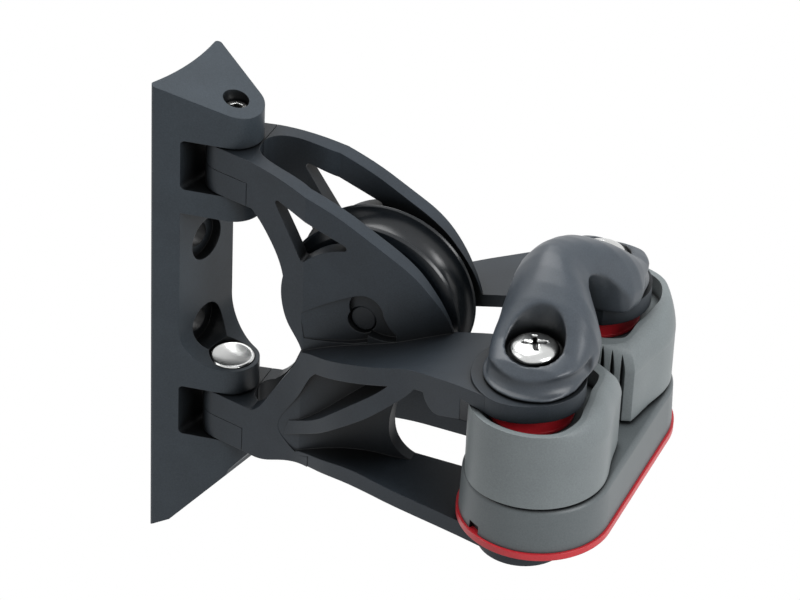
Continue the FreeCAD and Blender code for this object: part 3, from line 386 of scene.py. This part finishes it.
def make_fairlead():
    """Arched eye moulded in one: two round feet, screw wells and a bar-like crown."""
    body = bmesh.new()
    rings = [leg_ring(body, -row[0], *row[1:]) for row in LEG_SECTIONS]
    rings += [leg_ring(body, row[0], *row[1:]) for row in reversed(LEG_SECTIONS[:-1])]
    bridge_rings(body, rings)
    turn_to_arm(body)
    piece = new_piece(body, "fairlead_arch")
    tunnel = bmesh.new()
    bridge_rings(tunnel, [eye_ring(tunnel, *row) for row in EYE_SECTIONS])
    cutters = [tunnel]
    below = bmesh.new()
    under = Matrix.Translation((CLEAT_X, 0, FAIRLEAD_FOOT - CUT_BLOCK[2] / 2))
    under = under @ Matrix.Diagonal((*CUT_BLOCK, 1))
    bmesh.ops.create_cube(below, size=1.0, matrix=under)
    cutters.append(below)
    for y in (-SCREW_Y, SCREW_Y):
        cutters.append(round_bar(WELL_R, SCREW_SEAT, WELL_TOP, y))
        cutters.append(hollow_band(y))
    for cutter in cutters:
        turn_to_arm(cutter)
    cut_by(piece, [new_piece(cutter, "cutter") for cutter in cutters])
    joined = bmesh.new()
    joined.from_mesh(piece.data)
    bpy.data.objects.remove(piece)
    for y in (-SCREW_Y, SCREW_Y):
        rim = round_bar(RIM_R, FAIRLEAD_FOOT, FAIRLEAD_FOOT + RIM_H, y)
        turn_to_arm(rim)
        holder = bpy.data.meshes.new("rim")
        rim.to_mesh(holder)
        rim.free()
        joined.from_mesh(holder)
        bpy.data.meshes.remove(holder)
    piece = new_piece(joined, "fairlead_arch", fairlead_grey)
    skin = piece.modifiers.new("skin", "REMESH")
    skin.mode = "VOXEL"
    skin.voxel_size = VOXEL_MM * MM
    skin.use_smooth_shade = True
    ease = piece.modifiers.new("ease", "SMOOTH")
    ease.factor = 0.5
    ease.iterations = EASE_ROUNDS
    settle(piece)
    return piece


def make_screw(y, name):
    """Pan head screw of polished steel with a cross recess."""
    profile = [(0, SHANK_END), (SHANK_R, SHANK_END), (SHANK_R, SCREW_SEAT),
               (HEAD_R - HEAD_BEVEL, SCREW_SEAT), (HEAD_R, SCREW_SEAT + BEVEL_H)]
    for k in range(DOME_POINTS):
        a = math.radians(90 * k / (DOME_POINTS - 1))
        rise = HEAD_EDGE + (HEAD_H - HEAD_EDGE) * math.sin(a)
        profile.append((HEAD_R * math.cos(a) ** DOME_POWER, SCREW_SEAT + rise))
    bm = bmesh.new()
    verts = [bm.verts.new((x, 0, z)) for x, z in profile]
    edges = [bm.edges.new(pair) for pair in zip(verts, verts[1:])]
    bmesh.ops.spin(bm, geom=verts + edges, cent=(0, 0, 0), axis=(0, 0, 1), angle=2 * math.pi,
                   steps=64, use_merge=True)
    bmesh.ops.remove_doubles(bm, verts=bm.verts, dist=0.001)
    bmesh.ops.recalc_face_normals(bm, faces=bm.faces)
    bmesh.ops.translate(bm, verts=bm.verts, vec=(CLEAT_X, y, 0))
    turn_to_arm(bm)
    piece = new_piece(bm, name, stainless)
    cutters = []
    middle = Matrix.Translation((CLEAT_X, y, SCREW_SEAT + RECESS_RISE))
    for turn in RECESS_TURNS:
        slot = bmesh.new()
        bar = Matrix.Rotation(math.radians(turn), 4, "Z") @ Matrix.Diagonal((*RECESS_BAR, 1))
        bmesh.ops.create_cube(slot, size=1.0, matrix=middle @ bar)
        turn_to_arm(slot)
        cutters.append(new_piece(slot, "cutter"))
    cut_by(piece, cutters)
    return piece


def merged_copy(node):
    """A node's mesh as a bmesh, its loose triangles joined and their shading noted."""
    source = nodes[node].data
    bm = bmesh.new()
    bm.from_mesh(source)
    shading = bm.loops.layers.float_vector.new("shading")
    for face, polygon in zip(bm.faces, source.polygons):
        for k, corner in enumerate(face.loops):
            corner[shading] = source.corner_normals[polygon.loop_start + k].vector
    bmesh.ops.remove_doubles(bm, verts=bm.verts, dist=WELD_M)
    return bm


def keep_shading(piece):
    """Gives a merged copy the shading that its node had."""
    noted = [corner.vector.copy() for corner in piece.data.attributes["shading"].data]
    piece.data.normals_split_custom_set(noted)
    piece.data.attributes.remove(piece.data.attributes["shading"])
    return piece


def make_cam(node):
    """Cam whose foot stands clear of the base, so that a dark seam shows."""
    bm = merged_copy(node)
    low = min(v.co.z for v in bm.verts)
    foot = [v for v in bm.verts if v.co.z < low + LAYER_M]
    bmesh.ops.translate(bm, verts=foot, vec=(0, 0, CAM_SEAM_H * MM))
    return keep_shading(new_piece(bm, node + "_body", cam_nylon))


def make_arm_half(node):
    """Half of the arm whose top disc is little wider than the fairlead's foot."""
    bm = merged_copy(node)
    bmesh.ops.scale(bm, verts=bm.verts, vec=(1 / MM, 1 / MM, 1 / MM))
    bmesh.ops.translate(bm, verts=bm.verts, vec=(-HINGE_X, 0, 0))
    bmesh.ops.rotate(bm, verts=bm.verts, cent=(0, 0, 0), matrix=Matrix.Rotation(-ARM_ANGLE, 3, "Z"))
    for v in bm.verts:
        out = Vector((v.co.x - CLEAT_X, abs(v.co.y) - SCREW_Y, 0))
        if DISC_LOW < v.co.z < DISC_HIGH and abs(out.length - DISC_R) < DISC_SLACK:
            share = min(1.0, max(0.0, (out.x / out.length - TRIM_FROM) / TRIM_OVER))
            moved = out * (1 - DISC_TRIM * share / DISC_R)
            v.co.x = CLEAT_X + moved.x
            v.co.y = math.copysign(SCREW_Y + moved.y, v.co.y)
    turn_to_arm(bm)
    return keep_shading(new_piece(bm, node + "_body", arm_casting))


def make_trim():
    """Red trim with a raised rim round the foot of the base."""
    bm = merged_copy("cleat_trim")
    top = max(v.co.z for v in bm.verts)
    lid = [v for v in bm.verts if v.co.z > top - LAYER_M]
    bmesh.ops.translate(bm, verts=lid, vec=(0, 0, TRIM_RIM_H * MM))
    return keep_shading(new_piece(bm, "cleat_trim_rim", red_nylon))


def dress_arm():
    """Puts the finished pieces on the arm in place of their plain solids."""
    trim = make_trim()
    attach(trim, "arm")
    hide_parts("cleat_trim")
    arch = make_fairlead()
    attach(arch, "arm")
    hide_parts("fairlead")
    for y, end in ((-SCREW_Y, "front"), (SCREW_Y, "back")):
        cam = make_cam("cam_" + end)
        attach(cam, "cam_" + end)
        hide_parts("cam_" + end)
        half = make_arm_half("arm_" + end + "_half")
        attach(half, "arm")
        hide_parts("arm_" + end + "_half")
        screw = make_screw(y, "cleat_pan_screw_" + end)
        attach(screw, "arm")
        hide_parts("cleat_screw_" + end)


dress_arm()


def view_axes():
    """Right, up and forward directions of the camera."""
    away = Vector((-math.sin(AZIMUTH), math.cos(AZIMUTH), 0))
    right = Vector((math.cos(AZIMUTH), math.sin(AZIMUTH), 0))
    up = Vector((0, 0, 1))
    forward = away * math.cos(ELEVATION) - up * math.sin(ELEVATION)
    level_up = away * math.sin(ELEVATION) + up * math.cos(ELEVATION)
    across = right * math.cos(ROLL) - level_up * math.sin(ROLL)
    upward = right * math.sin(ROLL) + level_up * math.cos(ROLL)
    return across, upward, forward


def make_camera():
    """Long lens, no shift, no depth of field."""
    across, upward, forward = view_axes()
    x = (PIN_PX[0] - PHOTO_PX[0] / 2) / FOCAL_PX * DISTANCE
    y = -(PIN_PX[1] - PHOTO_PX[1] / 2) / FOCAL_PX * DISTANCE
    spot = (PIN_TOP - across * x - upward * y - forward * DISTANCE) * MM
    data = bpy.data.cameras.new("camera")
    data.sensor_width = SENSOR_MM
    data.lens = FOCAL_PX / PHOTO_PX[0] * SENSOR_MM
    data.clip_start = 0.05
    data.clip_end = 20.0
    camera = bpy.data.objects.new("camera", data)
    turn = Matrix((across, upward, -forward)).transposed().to_4x4()
    camera.matrix_world = Matrix.Translation(spot) @ turn
    bpy.context.collection.objects.link(camera)
    bpy.context.scene.camera = camera


# The dome of light begins just under the level of the block and is strongest
# overhead. The floor's depth and half width are in metres.
DOME_FROM = -0.12
DOME_LEVEL = 0.95
FLOOR_Z = -0.9
FLOOR_HALF = 3.0


def area_lamp(name, spot, target, size, power):
    """Square soft white lamp that faces the target."""
    data = bpy.data.lights.new(name, "AREA")
    data.shape = "SQUARE"
    data.size = size
    data.energy = power
    lamp = bpy.data.objects.new(name, data)
    aim = (Vector(target) - Vector(spot)).to_track_quat("-Z", "Y").to_matrix().to_4x4()
    lamp.matrix_world = Matrix.Translation(Vector(spot)) @ aim
    bpy.context.collection.objects.link(lamp)


def white_where_seen(tree, glow, seen_white):
    """White to the camera and in reflections, else the plain light level."""
    path = add(tree, "ShaderNodeLightPath")
    seen = path.outputs["Is Camera Ray"]
    for ray in ("Is Transmission Ray", "Is Glossy Ray"):
        seen = add(tree, "ShaderNodeMath", {0: seen, 1: path.outputs[ray]}, operation="MAXIMUM").outputs[0]
    return add(tree, "ShaderNodeMixShader", {0: seen, 1: glow, 2: seen_white})


def make_world():
    """White behind the object, a soft grey dome of light around it."""
    world = bpy.data.worlds.new("studio")
    bpy.context.scene.world = world
    world.use_nodes = True
    tree = world.node_tree
    tree.nodes.clear()
    out = tree.nodes.new("ShaderNodeOutputWorld")
    place = add(tree, "ShaderNodeTexCoord").outputs["Generated"]
    split = add(tree, "ShaderNodeSeparateXYZ", {0: place})
    level = add(tree, "ShaderNodeMapRange", {"Value": split.outputs["Z"]}, From_Min=DOME_FROM, From_Max=1.0,
                To_Min=0.0, To_Max=DOME_LEVEL)
    glow = add(tree, "ShaderNodeBackground", {"Strength": level.outputs[0]})
    glow.inputs["Color"].default_value = linear("fbfdff")
    white = add(tree, "ShaderNodeBackground", Strength=1.0)
    white.inputs["Color"].default_value = (1, 1, 1, 1)
    mix = white_where_seen(tree, glow.outputs[0], white.outputs[0])
    tree.links.new(mix.outputs[0], out.inputs["Surface"])


def make_floor():
    """Pale floor well below the bracket, white to the camera."""
    mesh = bpy.data.meshes.new("floor")
    bm = bmesh.new()
    bmesh.ops.create_grid(bm, x_segments=1, y_segments=1, size=FLOOR_HALF)
    bmesh.ops.translate(bm, verts=bm.verts, vec=(0, 0, FLOOR_Z))
    bm.to_mesh(mesh)
    bm.free()
    floor = bpy.data.objects.new("floor", mesh)
    bpy.context.collection.objects.link(floor)
    mat, tree, out = new_material("pale_floor")
    paint = add(tree, "ShaderNodeBsdfDiffuse")
    paint.inputs["Color"].default_value = linear("dcdcdc")
    glow = add(tree, "ShaderNodeEmission", Strength=1.0)
    mix = white_where_seen(tree, paint.outputs[0], glow.outputs[0])
    tree.links.new(mix.outputs[0], out.inputs["Surface"])
    floor.data.materials.append(mat)


make_camera()
make_world()
make_floor()
area_lamp("overhead", (-0.5, 0.2, 0.95), (0.04, 0, 0), 0.8, 9.5)
area_lamp("right_side", (1.1, -0.05, 0.5), (0.05, 0, 0), 0.6, 10.5)
area_lamp("left_side", (-0.75, -0.75, 0.55), (0.05, 0, 0), 0.6, 2.0)

bpy.context.scene.view_settings.view_transform = "Standard"
